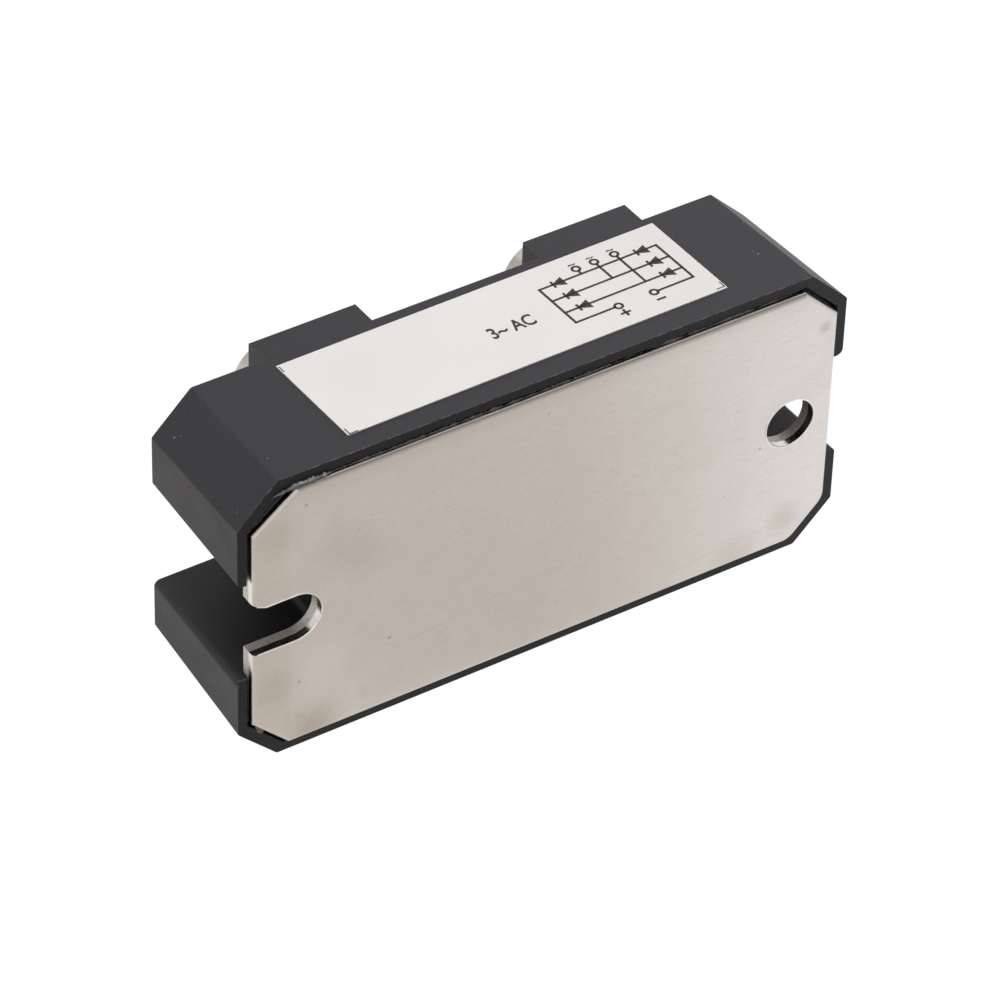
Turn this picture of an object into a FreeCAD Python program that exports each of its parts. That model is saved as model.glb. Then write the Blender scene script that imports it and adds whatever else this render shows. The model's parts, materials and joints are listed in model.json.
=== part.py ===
import FreeCAD, Part
import math
import os
import Sketcher

# A three phase bridge rectifier module. Each piece is drawn with the base plate down and the
# label side at -Y, and the whole module is then turned onto its long side: label up, base
# plate's mounting face towards -Y, terminals towards +Y.

os.makedirs("parts", exist_ok=True)
doc = FreeCAD.newDocument("bridge_module")
sheet = doc.addObject("Spreadsheet::Sheet", "sizes")

SIZES = {
    # Terminal rows, and the raised blocks that carry them.
    "pitch": 18.0,
    "row_offset": 7.0,
    "block_width": 13.8,
    "valley_width": 3.0,
    "bore_wall": 1.4,
    # Terminal strips.
    "tab_thickness": 1.2,
    "tab_width": 10.0,
    "tab_hole": 5.5,
    "tab_reach": 5.0,
    "tab_corner": 1.0,
    "leg_reach": 6.0,
    "bend_radius": 0.5,
    "foot_length": 3.0,
    "leg_gap": 0.3,
    "bend_gap": 0.1,
    # Along the length, from the outer terminals to the end: the cavity's room past their
    # strips, its end wall, the centres of the fixing hole and of the slot's round end, the
    # plate's end.
    "end_room": 2.2,
    "end_wall": 2.0,
    "hole_inset": 5.4,
    "slot_inset": 5.8,
    "plate_reach": 5.45,
    # Across the width, past the strips' legs: the cavity's room and its side wall.
    "side_room": 3.0,
    "side_wall": 2.6,
    # The rim that frames the plate, and the gap between them.
    "rim_wall": 1.2,
    "plate_gap": 0.35,
    # Heights above the plate's mounting face.
    "rim_level": 0.8,
    "deck_level": 20.4,
    "block_level": 24.3,
    "deck_wall": 4.4,
    # Outline of the housing, and how far its cuts run past it.
    "corner_cut": 5.0,
    "corner_round": 0.5,
    "top_edge": 0.3,
    "notch_above": 6.65,
    "notch_below": 7.15,
    "notch_round": 0.8,
    "overrun": 1.0,
    # Base plate. One corner is cut deeper along the length, and one is rounded over.
    "plate_thickness": 2.2,
    "plate_cut": 4.6,
    "deep_cut_length": 5.6,
    "deep_cut_width": 4.5,
    "plate_corner_round": 2.4,
    "plate_edge_round": 0.6,
    "mount_bore": 6.6,
    "slot_splay": 1.6,
    "slot_splay_width": 0.7,
    # Screws, washers and nuts of the terminals, M5.
    "screw_diameter": 5.0,
    "screw_length": 10.0,
    "screw_tip": 0.6,
    "head_diameter": 10.0,
    "head_height": 3.8,
    "head_edge": 0.6,
    "recess_length": 5.2,
    "recess_width": 1.3,
    "recess_depth": 2.2,
    "thread_gap": 0.05,
    "washer_diameter": 10.0,
    "washer_bore": 5.4,
    "washer_thickness": 1.0,
    "spring_bore": 5.4,
    "spring_breadth": 1.8,
    "spring_thickness": 1.2,
    "nut_flats": 8.0,
    "nut_height": 4.0,
    "nut_gap": 0.15,
    "nut_drop": 0.1,
    # Label on the drafted side.
    "label_length": 50.0,
    "label_width": 15.0,
    "label_thickness": 0.15,
    "label_shift": 0.5,
    "label_level": 11.35,
    # Circuit on the plate.
    "ceramic_gap": 0.7,
    "ceramic_thickness": 0.63,
    "copper_thickness": 0.3,
    "copper_margin": 0.6,
    "pad_gap": 1.6,
    "lead_pad_gap": 2.0,
    "die_side": 6.4,
    "die_thickness": 0.4,
    "die_margin": 0.4,
    "die_to_foot": 0.8,
    "clip_width": 5.0,
    "clip_thickness": 0.5,
    "clip_rise": 1.9,
    "clip_land": 2.0,
    "comb_drop": 0.6,
    "comb_thickness": 0.6,
    "comb_breadth": 3.2,
    "comb_finger": 4.0,
    "potting_gap": 1.0,
    "potting_height": 7.8,
}

# The leans of the moulded walls, the label's turn from level, and the open part of a spring
# washer's turn, in degrees.
ANGLES = {
    "end_draft": 1.9,
    "side_draft": 3.05,
    "label_turn": 0.6,
    "spring_split": 14.0,
}

for row, (alias, number) in enumerate((SIZES | ANGLES).items(), 1):
    sheet.set(f"A{row}", alias)
    sheet.set(f"B{row}", str(number))
    sheet.setAlias(f"B{row}", alias)
doc.recompute()


class Size:
    """A length that holds its number and the expression that binds it to the sheet."""

    def __init__(self, value, text):
        self.value = value
        self.text = text

    def __add__(self, other):
        other = as_size(other)
        return Size(self.value + other.value, f"({self.text} + {other.text})")

    def __sub__(self, other):
        other = as_size(other)
        return Size(self.value - other.value, f"({self.text} - {other.text})")

    def __mul__(self, other):
        other = as_size(other)
        return Size(self.value * other.value, f"({self.text} * {other.text})")

    def __truediv__(self, other):
        other = as_size(other)
        return Size(self.value / other.value, f"({self.text} / {other.text})")

    def __neg__(self):
        return Size(-self.value, f"(0 - {self.text})")

    __radd__ = __add__
    __rmul__ = __mul__


def as_size(number):
    return number if isinstance(number, Size) else Size(float(number), repr(float(number)))


def tangent(angle):
    return Size(math.tan(math.radians(angle.value)), f"tan({angle.text} * 1 deg)")


S = {alias: Size(number, f"sizes.{alias}") for alias, number in (SIZES | ANGLES).items()}

# Places and half sizes that several pieces share, worked out from the terminals outwards.
leg_inner = S["row_offset"] + S["leg_reach"]
cavity_half_length = S["pitch"] + S["tab_width"] / 2 + S["end_room"]
cavity_half_width = leg_inner + S["tab_thickness"] + S["side_room"]
notch_floor = cavity_half_length + S["end_wall"]
hole_place = notch_floor + S["hole_inset"]
slot_place = notch_floor + S["slot_inset"]
plate_half_length = slot_place + S["plate_reach"]
half_length = plate_half_length + S["plate_gap"] + S["rim_wall"]
half_width = cavity_half_width + S["side_wall"]
plate_half_width = half_width - S["rim_wall"] - S["plate_gap"]
block_inner = S["valley_width"] / 2

# Leans of the drafted walls, and levels above the plate's mounting face.
end_lean = tangent(S["end_draft"])
side_lean = tangent(S["side_draft"])
tall = S["block_level"] - S["rim_level"]
top_half_width = half_width - tall * side_lean
cavity_top = S["deck_level"] - S["deck_wall"]
tab_top = S["block_level"] + S["tab_thickness"]
washer_top = tab_top + S["washer_thickness"]
head_level = washer_top + S["spring_thickness"]
nut_level = S["block_level"] - S["nut_drop"] - S["nut_height"]
ceramic_top = S["plate_thickness"] + S["ceramic_thickness"]
copper_top = ceramic_top + S["copper_thickness"]
die_top = copper_top + S["die_thickness"]
clip_top = die_top + S["clip_rise"]
comb_level = clip_top + S["comb_drop"]
potting_low = comb_level + S["comb_thickness"] + S["potting_gap"]

# The circuit: rows of chips either side of the gap between plus and phase copper.
ceramic_half_length = cavity_half_length - S["ceramic_gap"]
ceramic_half_width = cavity_half_width - S["ceramic_gap"]
copper_half_length = ceramic_half_length - S["copper_margin"]
copper_half_width = ceramic_half_width - S["copper_margin"]
upper_die_row = S["pad_gap"] + S["die_margin"] + S["die_side"] / 2
lower_die_row = leg_inner - S["foot_length"] - S["die_to_foot"] - S["die_side"] / 2

# Each terminal: its name, its place along the row in pitches, and its side, -1 by the label.
TERMINALS = [
    ("plus", -1, -1),
    ("minus", 1, -1),
    ("ac_1", -1, 1),
    ("ac_2", 0, 1),
    ("ac_3", 1, 1),
]
PHASES = [("1", -1), ("2", 0), ("3", 1)]
pieces = []


def new_piece(name, across=0, along=0, up=0):
    """A body whose own origin stands at (across, along, up) of the upright module."""
    body = doc.addObject("PartDesign::Body", name)
    body.Label = name
    body.Placement = FreeCAD.Placement(FreeCAD.Vector(), FreeCAD.Rotation(FreeCAD.Vector(1, 0, 0), -90))
    body.setExpression("Placement.Base.x", as_size(across).text)
    body.setExpression("Placement.Base.y", as_size(up).text)
    body.setExpression("Placement.Base.z", (-as_size(along)).text)
    pieces.append(body)
    return body


def new_sketch(body, name, plane, lift=0):
    sketch = body.newObject("Sketcher::SketchObject", f"{body.Name}_{name}")
    flat = [f for f in body.Origin.OriginFeatures if f.Role == plane][0]
    sketch.AttachmentSupport = (flat, [""])
    sketch.MapMode = "FlatFace"
    sketch.setExpression("AttachmentOffset.Base.z", as_size(lift).text)
    return sketch


def pin_point(sketch, line, end, x, y):
    """Hold one end of a line, or a circle's centre, at (x, y), each bound to the sheet."""
    for kind, axis, place in (("DistanceX", -2, as_size(x)), ("DistanceY", -1, as_size(y))):
        if place.value == 0:
            sketch.addConstraint(Sketcher.Constraint("PointOnObject", line, end, axis))
            continue
        number = sketch.addConstraint(Sketcher.Constraint(kind, line, end, place.value))
        sketch.setExpression(f"Constraints[{number}]", place.text)


def draw_outline(sketch, points):
    """A closed outline of straight lines, its corners at (x, y)."""
    first = sketch.GeometryCount
    spots = [FreeCAD.Vector(as_size(x).value, as_size(y).value, 0) for x, y in points]
    for here, there in zip(spots, spots[1:] + spots[:1]):
        sketch.addGeometry(Part.LineSegment(here, there), False)
    for step in range(len(points)):
        following = first + (step + 1) % len(points)
        sketch.addConstraint(Sketcher.Constraint("Coincident", first + step, 2, following, 1))
    for step, (x, y) in enumerate(points):
        pin_point(sketch, first + step, 1, x, y)


def draw_box(sketch, left, low, right, high):
    draw_outline(sketch, [(left, low), (right, low), (right, high), (left, high)])


def draw_circle(sketch, x, y, diameter):
    centre = FreeCAD.Vector(as_size(x).value, as_size(y).value, 0)
    number = sketch.addGeometry(Part.Circle(centre, FreeCAD.Vector(0, 0, 1), diameter.value / 2), False)
    pin_point(sketch, number, 3, x, y)
    bound = sketch.addConstraint(Sketcher.Constraint("Diameter", number, diameter.value))
    sketch.setExpression(f"Constraints[{bound}]", diameter.text)


def octagon(half_x, half_y, cut):
    """The corners of a rectangle whose own corners are cut off at 45 degrees."""
    return [
        (-half_x + cut, -half_y), (half_x - cut, -half_y),
        (half_x, -half_y + cut), (half_x, half_y - cut),
        (half_x - cut, half_y), (-half_x + cut, half_y),
        (-half_x, half_y - cut), (-half_x, -half_y + cut),
    ]


def feature(body, kind, name, sketch, length=None, symmetric=False, reverse=False):
    made = body.newObject(f"PartDesign::{kind}", f"{body.Name}_{name}")
    made.Profile = sketch
    if length is None:
        made.Type = "ThroughAll"
    else:
        made.setExpression("Length", as_size(length).text)
    if symmetric:
        made.SideType = "Symmetric"
    made.Reversed = reverse
    return made


def pad(body, name, sketch, length, symmetric=False):
    return feature(body, "Pad", name, sketch, length, symmetric)


def pocket(body, name, sketch, length=None, symmetric=False, reverse=False):
    """Cut a sketch out of the body, and see that something was cut."""
    before = body.Tip
    made = feature(body, "Pocket", name, sketch, length, symmetric, reverse)
    doc.recompute()
    if made.Shape.Volume > before.Shape.Volume - 0.001:
        raise RuntimeError(f"{made.Name} cuts nothing")
    return made


def turn(body, name, sketch, angle):
    """Turn a sketch about its own upright axis."""
    made = body.newObject("PartDesign::Revolution", f"{body.Name}_{name}")
    made.Profile = sketch
    made.ReferenceAxis = (sketch, ["V_Axis"])
    made.setExpression("Angle", angle.text)
    return made


def edges_where(made, chosen):
    """Names of the edges of a feature for which chosen(middle, direction, edge) is true."""
    names = []
    for number, edge in enumerate(made.Shape.Edges, 1):
        ends = [vertex.Point for vertex in edge.Vertexes]
        middle = edge.CenterOfMass
        direction = (ends[-1] - ends[0]).normalize() if len(ends) > 1 else FreeCAD.Vector()
        if chosen(middle, direction, edge):
            names.append(f"Edge{number}")
    return names


def dress(body, kind, name, size, chosen):
    """Round or chamfer the chosen edges of the body as it stands."""
    doc.recompute()
    base = body.Tip
    names = edges_where(base, chosen)
    if not names:
        raise RuntimeError(f"{body.Name}_{name} finds no edge")
    made = body.newObject(f"PartDesign::{kind}", f"{body.Name}_{name}")
    made.Base = (base, names)
    made.setExpression("Radius" if kind == "Fillet" else "Size", size.text)
    return made


def ordered(first, second):
    return sorted((first, second), key=lambda size: size.value)


def near(value, size, tolerance=0.01):
    return abs(value - size.value) < tolerance


def flat_at(edge, level):
    """Whether an edge lies wholly at one level."""
    return near(edge.BoundBox.ZMin, level) and near(edge.BoundBox.ZMax, level)


def hexagon(centre_x, centre_y, flats):
    """A hexagon's corners, with two of its flats along X."""
    corner = flats / math.sqrt(3)
    return [
        (centre_x + corner, centre_y),
        (centre_x + corner / 2, centre_y + flats / 2), (centre_x - corner / 2, centre_y + flats / 2),
        (centre_x - corner, centre_y),
        (centre_x - corner / 2, centre_y - flats / 2), (centre_x + corner / 2, centre_y - flats / 2),
    ]


def terminal_place(place, side):
    return S["pitch"] * place, S["row_offset"] * side


def build_housing():
    """The moulded case: a drafted box open below, with five terminal blocks on its deck."""
    body = new_piece("housing")
    long_view = new_sketch(body, "long_view", "XZ_Plane")
    top_half = half_length - tall * end_lean
    draw_outline(long_view, [
        (-half_length, S["rim_level"]), (half_length, S["rim_level"]),
        (top_half, S["block_level"]), (-top_half, S["block_level"]),
    ])
    pad(body, "block", long_view, half_width * 2, symmetric=True)
    end_view = new_sketch(body, "end_view", "YZ_Plane")
    beyond = half_width + S["overrun"]
    for side in (-1, 1):
        draw_outline(end_view, [
            (half_width * side, S["rim_level"]), (beyond * side, S["rim_level"]),
            (beyond * side, S["block_level"]), (top_half_width * side, S["block_level"]),
        ])
    pocket(body, "side_drafts", end_view, symmetric=True)
    dress(body, "Chamfer", "corner_cuts", S["corner_cut"],
          lambda middle, direction, edge: abs(direction.z) > 0.9)
    dress(body, "Fillet", "corner_rounds", S["corner_round"],
          lambda middle, direction, edge: abs(direction.z) > 0.9)
    cut_deck(body)
    cut_notches(body)
    cut_inside(body)
    cut_terminal_seats(body)
    dress(body, "Chamfer", "top_edges", S["top_edge"], is_block_rim)
    return body


def is_block_rim(middle, direction, edge):
    """Whether an edge is on the outline of a block's top."""
    if not flat_at(edge, S["block_level"]):
        return False
    rows = (S["pitch"] * place for place in (-1, 0, 1))
    on_side = any(near(abs(middle.x - row.value), S["block_width"] / 2) for row in rows)
    return on_side or near(abs(middle.y), block_inner) or near(abs(middle.y), top_half_width)


def cut_deck(body):
    """Lower the deck everywhere but at the blocks."""
    deck = new_sketch(body, "deck", "XY_Plane", S["block_level"])
    reach_x, reach_y = half_length + S["overrun"] * 2, half_width + S["overrun"] * 2
    draw_box(deck, -reach_x, -reach_y, reach_x, reach_y)
    half = S["block_width"] / 2
    for _, place, side in TERMINALS:
        x = S["pitch"] * place
        low, high = ordered(block_inner * side, (half_width + S["overrun"]) * side)
        draw_box(deck, x - half, low, x + half, high)
    pocket(body, "deck_cut", deck, S["block_level"] - S["deck_level"])


def cut_notches(body):
    """Open the middle of both ends over the plate's hole and slot."""
    notches = new_sketch(body, "notches", "XY_Plane", S["block_level"])
    above, below = -S["notch_above"], S["notch_below"]
    for side in (-1, 1):
        left, right = ordered(notch_floor * side, (half_length + S["overrun"]) * side)
        draw_box(notches, left, above, right, below)
    pocket(body, "notch_cuts", notches)
    dress(body, "Fillet", "notch_rounds", S["notch_round"],
          lambda middle, direction, edge: abs(direction.z) > 0.9
          and (near(middle.y, above) or near(middle.y, below)))


def cut_inside(body):
    """The recess that takes the plate, and the cavity over the circuit."""
    gap = S["plate_gap"]
    recess = new_sketch(body, "recess", "XY_Plane", S["rim_level"])
    draw_outline(recess, octagon(plate_half_length + gap, plate_half_width + gap, S["plate_cut"]))
    pocket(body, "plate_recess", recess, S["plate_thickness"] - S["rim_level"], reverse=True)
    cavity = new_sketch(body, "cavity", "XY_Plane", S["plate_thickness"])
    draw_box(cavity, -cavity_half_length, -cavity_half_width, cavity_half_length, cavity_half_width)
    pocket(body, "cavity_cut", cavity, cavity_top - S["plate_thickness"], reverse=True)


def cut_terminal_seats(body):
    """In each block: a pocket for the nut, a bore for the screw's end, a slot for the leg."""
    nuts = new_sketch(body, "nuts", "XY_Plane", S["block_level"])
    bores = new_sketch(body, "bores", "XY_Plane", nut_level)
    slots = new_sketch(body, "slots", "XY_Plane", S["block_level"])
    for _, place, side in TERMINALS:
        x, y = terminal_place(place, side)
        draw_outline(nuts, hexagon(x, y, S["nut_flats"] + S["nut_gap"] * 2))
        draw_circle(bores, x, y, S["tab_hole"])
        inner = leg_inner - S["bend_radius"] - S["bend_gap"]
        outer = leg_inner + S["tab_thickness"] + S["leg_gap"]
        low, high = ordered(inner * side, outer * side)
        half = S["tab_width"] / 2 + S["leg_gap"]
        draw_box(slots, x - half, low, x + half, high)
    pocket(body, "nut_pockets", nuts, S["nut_height"] + S["nut_drop"])
    pocket(body, "screw_bores", bores, nut_level - cavity_top - S["bore_wall"])
    pocket(body, "leg_slots", slots)


def build_base_plate():
    """The stamped plate: a round hole at one end, an open slot at the other."""
    body = new_piece("base_plate")
    outline = new_sketch(body, "outline", "XY_Plane")
    corners = octagon(plate_half_length, plate_half_width, S["plate_cut"])
    corners[0] = (-plate_half_length + S["deep_cut_length"], -plate_half_width)
    corners[-1] = (-plate_half_length, -plate_half_width + S["deep_cut_width"])
    draw_outline(outline, corners)
    pad(body, "sheet", outline, S["plate_thickness"])
    dress(body, "Fillet", "rounded_corner", S["plate_corner_round"], is_rounded_corner)
    dress(body, "Fillet", "face_edges", S["plate_edge_round"],
          lambda middle, direction, edge: flat_at(edge, as_size(0)))
    bore = new_sketch(body, "bore", "XY_Plane")
    draw_circle(bore, hole_place, 0, S["mount_bore"])
    draw_circle(bore, -slot_place, 0, S["mount_bore"])
    pocket(body, "holes", bore, S["plate_thickness"], reverse=True)
    slot = new_sketch(body, "slot", "XY_Plane")
    beyond = -plate_half_length - S["plate_gap"]
    half = S["mount_bore"] / 2
    splayed = -half - S["slot_splay_width"]
    draw_outline(slot, [
        (beyond, half), (-slot_place, half), (-slot_place, -half),
        (-plate_half_length + S["slot_splay"], -half), (-plate_half_length, splayed), (beyond, splayed),
    ])
    pocket(body, "slot_cut", slot, S["plate_thickness"], reverse=True)
    return body


def is_rounded_corner(middle, direction, edge):
    """Whether an edge is one of the two upright ones of the corner past the round hole."""
    return (abs(direction.z) > 0.9 and middle.x > hole_place.value - S["plate_cut"].value
            and middle.y > 0)


def build_label():
    """The printed label, flat on the drafted side."""
    body = new_piece("label", S["label_shift"], 0, S["label_level"])
    lean = S["label_level"] - S["rim_level"]
    body.setExpression("Placement.Base.z", (half_width - lean * side_lean).text)
    body.setExpression("Placement.Rotation.Angle", (-S["side_draft"]).text)
    outline = new_sketch(body, "outline", "XY_Plane")
    outline.setExpression("AttachmentOffset.Rotation.Angle", S["label_turn"].text)
    half_x, half_y = S["label_length"] / 2, S["label_width"] / 2
    draw_box(outline, -half_x, -half_y, half_x, half_y)
    pad(body, "film", outline, S["label_thickness"])
    return body


def build_terminal(name, place, side):
    """A bent strip: a holed tab on the block, a leg through the deck, a foot on the copper."""
    x, y = terminal_place(place, side)
    body = new_piece(f"terminal_{name}", x, y)
    bend = S["tab_thickness"]
    reach, foot = S["leg_reach"], S["foot_length"]
    profile = new_sketch(body, "profile", "YZ_Plane")
    draw_outline(profile, [
        (-S["tab_reach"] * side, tab_top), ((reach + bend) * side, tab_top),
        ((reach + bend) * side, copper_top), ((reach - foot) * side, copper_top),
        ((reach - foot) * side, copper_top + bend), (reach * side, copper_top + bend),
        (reach * side, S["block_level"]), (-S["tab_reach"] * side, S["block_level"]),
    ])
    pad(body, "strip", profile, S["tab_width"], symmetric=True)
    hole = new_sketch(body, "hole", "XY_Plane", tab_top)
    draw_circle(hole, 0, 0, S["tab_hole"])
    pocket(body, "hole_cut", hole, bend)
    inner_bends = (S["block_level"].value, (copper_top + bend).value)
    outer_bends = (tab_top.value, copper_top.value)
    dress(body, "Fillet", "inner_bends", S["bend_radius"],
          lambda middle, direction, edge: abs(direction.x) > 0.9 and near(abs(middle.y), reach)
          and min(abs(middle.z - level) for level in inner_bends) < 0.01)
    dress(body, "Fillet", "outer_bends", S["bend_radius"] + bend,
          lambda middle, direction, edge: abs(direction.x) > 0.9 and near(abs(middle.y), reach + bend)
          and min(abs(middle.z - level) for level in outer_bends) < 0.01)
    dress(body, "Chamfer", "tab_corners", S["tab_corner"],
          lambda middle, direction, edge: abs(direction.z) > 0.9 and near(abs(middle.y), S["tab_reach"])
          and middle.z > S["block_level"].value)
    return body


def build_nut(name, place, side):
    """A hexagon nut, held from turning by its pocket."""
    x, y = terminal_place(place, side)
    body = new_piece(f"nut_{name}", x, y, nut_level)
    outline = new_sketch(body, "outline", "XY_Plane")
    draw_outline(outline, hexagon(as_size(0), as_size(0), S["nut_flats"]))
    pad(body, "prism", outline, S["nut_height"])
    bore = new_sketch(body, "bore", "XY_Plane")
    draw_circle(bore, 0, 0, S["screw_diameter"] + S["thread_gap"] * 2)
    pocket(body, "bore_cut", bore, S["nut_height"], reverse=True)
    return body


def build_flat_washer(name, place, side):
    x, y = terminal_place(place, side)
    body = new_piece(f"flat_washer_{name}", x, y, tab_top)
    ring = new_sketch(body, "ring", "XY_Plane")
    draw_circle(ring, 0, 0, S["washer_diameter"])
    draw_circle(ring, 0, 0, S["washer_bore"])
    pad(body, "disc", ring, S["washer_thickness"])
    return body


def build_spring_washer(name, place, side):
    """A split ring of flat wire, pressed flat under the screw's head."""
    x, y = terminal_place(place, side)
    body = new_piece(f"spring_washer_{name}", x, y, washer_top)
    wire = new_sketch(body, "wire", "XZ_Plane")
    inner = S["spring_bore"] / 2
    draw_box(wire, inner, 0, inner + S["spring_breadth"], S["spring_thickness"])
    turn(body, "ring", wire, as_size(360) - S["spring_split"])
    return body


def build_screw(name, place, side):
    """A pan head screw with a cross recess, its own origin under the head."""
    x, y = terminal_place(place, side)
    body = new_piece(f"screw_{name}", x, y, head_level)
    half = new_sketch(body, "half", "XZ_Plane")
    shank, head = S["screw_diameter"] / 2, S["head_diameter"] / 2
    tip = S["screw_tip"]
    draw_outline(half, [
        (as_size(0), S["head_height"]), (head, S["head_height"]), (head, 0), (shank, 0),
        (shank, tip - S["screw_length"]), (shank - tip, -S["screw_length"]),
        (as_size(0), -S["screw_length"]),
    ])
    turn(body, "turned", half, as_size(360))
    dress(body, "Chamfer", "head_edge", S["head_edge"],
          lambda middle, direction, edge: flat_at(edge, S["head_height"]))
    recess = new_sketch(body, "recess", "XY_Plane", S["head_height"])
    arm, slim = S["recess_length"] / 2, S["recess_width"] / 2
    draw_outline(recess, [
        (arm, -slim), (arm, slim), (slim, slim), (slim, arm), (-slim, arm), (-slim, slim),
        (-arm, slim), (-arm, -slim), (-slim, -slim), (-slim, -arm), (slim, -arm), (slim, -slim),
    ])
    pocket(body, "recess_cut", recess, S["recess_depth"])
    return body


def build_slab(name, low, high, outlines):
    """A flat layer of the circuit between two levels."""
    body = new_piece(name, 0, 0, low)
    outline = new_sketch(body, "outline", "XY_Plane")
    for points in outlines:
        draw_outline(outline, points)
    pad(body, "layer", outline, high - low)
    return body


def rectangle(left, near_side, right, far_side):
    return [(left, near_side), (right, near_side), (right, far_side), (left, far_side)]


def build_circuit():
    """The ceramic with its copper areas, six diode chips and the strips that join them."""
    half_x, half_y = ceramic_half_length, ceramic_half_width
    build_slab("ceramic_substrate", S["plate_thickness"], ceramic_top,
               [rectangle(-half_x, -half_y, half_x, half_y)])
    low = -S["pad_gap"]
    step = -upper_die_row - S["die_side"] / 2 - S["die_margin"]
    middle = S["lead_pad_gap"] / 2
    build_slab("copper_plus", ceramic_top, copper_top, [[
        (-copper_half_length, -copper_half_width), (-middle, -copper_half_width), (-middle, step),
        (copper_half_length, step), (copper_half_length, low), (-copper_half_length, low),
    ]])
    build_slab("copper_minus", ceramic_top, copper_top,
               [rectangle(middle, -copper_half_width, copper_half_length, step - S["pad_gap"] / 2)])
    pad_half = (S["pitch"] - S["pad_gap"]) / 2
    for number, place in PHASES:
        x = S["pitch"] * place
        left = -copper_half_length if place < 0 else x - pad_half
        right = copper_half_length if place > 0 else x + pad_half
        build_slab(f"copper_ac_{number}", ceramic_top, copper_top,
                   [rectangle(left, 0, right, copper_half_width)])
        build_die(f"diode_upper_{number}", x, -upper_die_row)
        build_die(f"diode_lower_{number}", x, lower_die_row)
        build_clip(number, x)


def build_die(name, x, y):
    half = S["die_side"] / 2
    body = new_piece(name, x, y, copper_top)
    outline = new_sketch(body, "outline", "XY_Plane")
    draw_box(outline, -half, -half, half, half)
    pad(body, "chip", outline, S["die_thickness"])
    return body


def build_clip(number, x):
    """A humped strip from the top of an upper chip to the copper of its phase."""
    body = new_piece(f"clip_ac_{number}", x, 0, 0)
    thick, land = S["clip_thickness"], S["clip_land"]
    back = -upper_die_row - land
    front = -upper_die_row + land
    hump = clip_top
    foot = as_size(0) + thick
    profile = new_sketch(body, "profile", "YZ_Plane")
    draw_outline(profile, [
        (back, die_top), (front, die_top), (front + thick * 2, hump - thick),
        (foot - thick * 2, hump - thick), (foot, copper_top), (foot + land, copper_top),
        (foot + land, copper_top + thick), (foot + thick, copper_top + thick),
        (foot - thick, hump), (front + thick, hump), (front - thick / 2, die_top + thick),
        (back, die_top + thick),
    ])
    pad(body, "strip", profile, S["clip_width"], symmetric=True)
    return body


def build_comb():
    """The strip that joins the tops of the lower chips to the minus copper."""
    body = new_piece("comb_minus", 0, 0, 0)
    thick, breadth, finger = S["comb_thickness"], S["comb_breadth"], S["comb_finger"]
    level = comb_level
    row = lower_die_row
    bar_end = S["pitch"] + finger / 2
    arm_end = -leg_inner + S["foot_length"]
    bar = new_sketch(body, "bar", "XY_Plane", level)
    arm = S["pitch"] / 2
    arm_left, arm_right = arm - breadth / 2, arm + breadth / 2
    draw_outline(bar, [
        (-bar_end, row - breadth / 2), (arm_left, row - breadth / 2), (arm_left, arm_end),
        (arm_right, arm_end), (arm_right, row - breadth / 2), (bar_end, row - breadth / 2),
        (bar_end, row + breadth / 2), (-bar_end, row + breadth / 2),
    ])
    pad(body, "bar_sheet", bar, thick)
    inner, outer = row - breadth / 2, row + breadth / 2
    for place, word in ((-1, "left"), (0, "middle"), (1, "right")):
        step = new_sketch(body, f"{word}_step", "YZ_Plane", S["pitch"] * place)
        draw_outline(step, [
            (outer, level + thick), (outer + thick, level + thick), (outer + thick, die_top),
            (inner, die_top), (inner, die_top + thick), (outer, die_top + thick),
        ])
        pad(body, f"{word}_finger", step, finger, symmetric=True)
    foot = new_sketch(body, "foot", "YZ_Plane", arm)
    draw_outline(foot, [
        (arm_end, level + thick), (arm_end - thick, level + thick), (arm_end - thick, copper_top + thick),
        (arm_end - breadth, copper_top + thick), (arm_end - breadth, copper_top), (arm_end, copper_top),
    ])
    pad(body, "foot_pad", foot, breadth, symmetric=True)
    return body


def build_potting():
    """The hard resin over the circuit, with the five legs standing through it."""
    body = new_piece("potting", 0, 0, potting_low)
    outline = new_sketch(body, "outline", "XY_Plane")
    draw_box(outline, -cavity_half_length, -cavity_half_width, cavity_half_length, cavity_half_width)
    for _, place, side in TERMINALS:
        x = S["pitch"] * place
        low, high = ordered(leg_inner * side, (leg_inner + S["tab_thickness"]) * side)
        draw_box(outline, x - S["tab_width"] / 2, low, x + S["tab_width"] / 2, high)
    pad(body, "resin", outline, S["potting_height"])
    return body


build_housing()
build_base_plate()
build_label()
build_potting()
build_circuit()
build_comb()
for name, place, side in TERMINALS:
    build_terminal(name, place, side)
    build_nut(name, place, side)
    build_flat_washer(name, place, side)
    build_spring_washer(name, place, side)
    build_screw(name, place, side)
doc.recompute()

failed = [item.Name for item in doc.Objects if {"Invalid", "Error"} & set(item.State)]
if failed:
    raise RuntimeError(f"these objects failed: {failed}")
for piece in pieces:
    if piece.Shape.isNull() or not piece.Shape.isValid() or len(piece.Shape.Solids) != 1:
        raise RuntimeError(f"{piece.Label} is not one valid solid")
for piece in pieces:
    piece.Shape.exportStep(f"parts/{piece.Label}.step")
print(f"{len(pieces)} pieces written")
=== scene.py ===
# %% [markdown]
# # A three phase bridge rectifier module
#
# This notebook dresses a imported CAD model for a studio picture. The module is a black moulded
# case with a nickel plated base plate in front, a printed label on top and five screw terminals
# at the back. The CAD solids already have the right shapes, so most of the work is in their
# finishes. A few small things that CAD leaves plain are built here: the ink on the label, the
# threads and heads of the screws, the bright lip that punching left round the plate's hole and
# slot, the sealant that squeezed out around the plate, and two scraps of waste.
#
# Everything is in metres, in the same frame as the CAD: X runs along the module, +Y goes from
# the base plate to the terminals, and Z is up.

import json
import math

import bmesh
import bpy
from mathutils import Matrix, Quaternion, Vector, noise


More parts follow.
